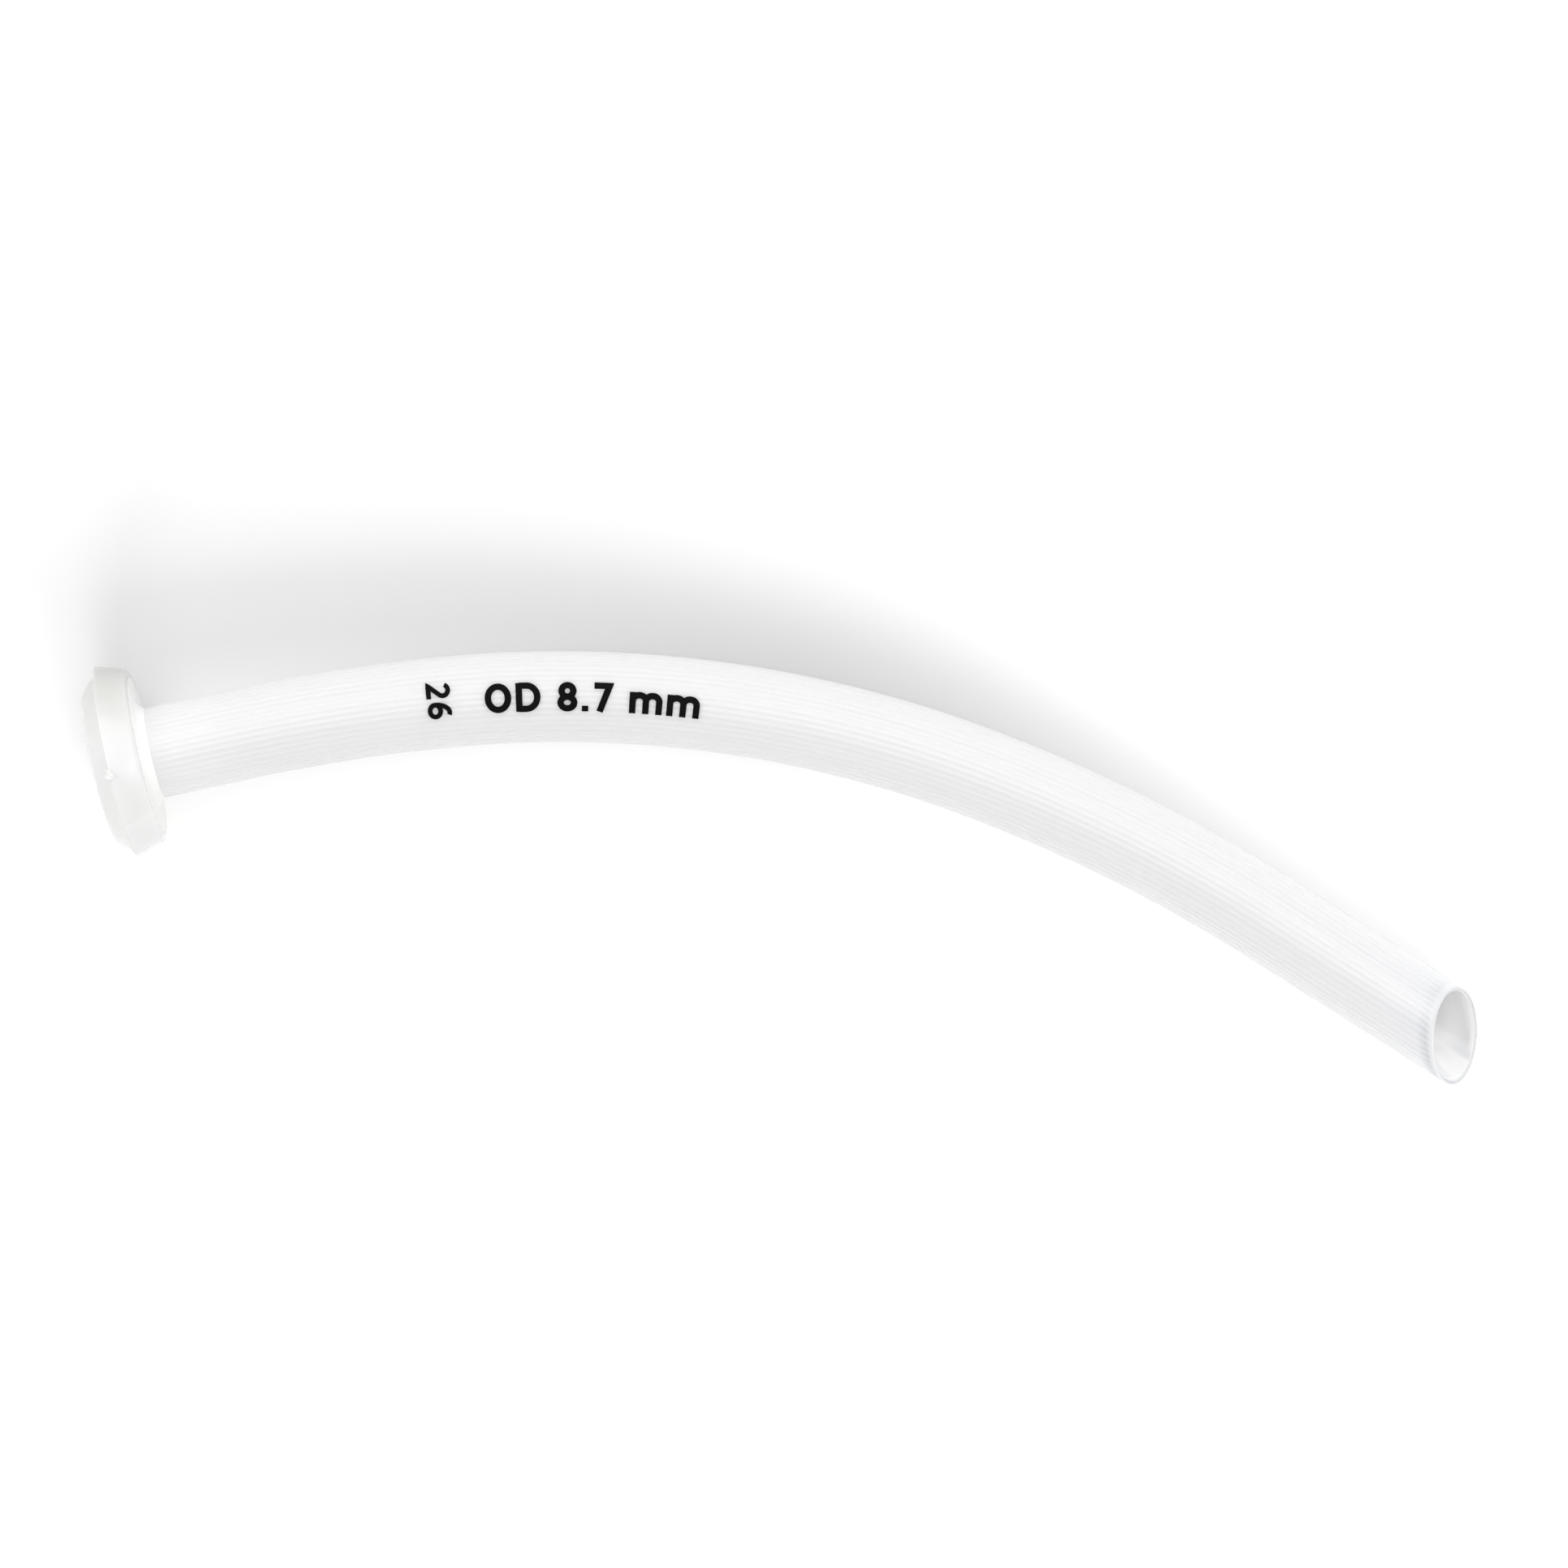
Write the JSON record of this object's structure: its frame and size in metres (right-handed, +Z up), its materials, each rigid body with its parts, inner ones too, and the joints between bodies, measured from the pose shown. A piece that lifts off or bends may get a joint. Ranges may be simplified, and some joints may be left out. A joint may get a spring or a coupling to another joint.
{
  "type": "nasopharyngeal airway",
  "caption": "Curved clear tube with fine lengthwise ribs, a slanted rounded tip and a round flange, worn through the nose to keep the airway open.",
  "frame": {"origin": "on the table under the middle of the whole airway as it lies at rest", "axes": "+X from the flange to the slanted tip along the bend's chord, +Z up off the table, +Y to the outside of the bend"},
  "size_m": [0.1365, 0.0292, 0.0182],
  "materials": {
    "tube": "satin",
    "flange": "satin"
  },
  "bodies": {
    "root": {"tube": "tube", "flange": "flange"}
  },
  "joints": []
}
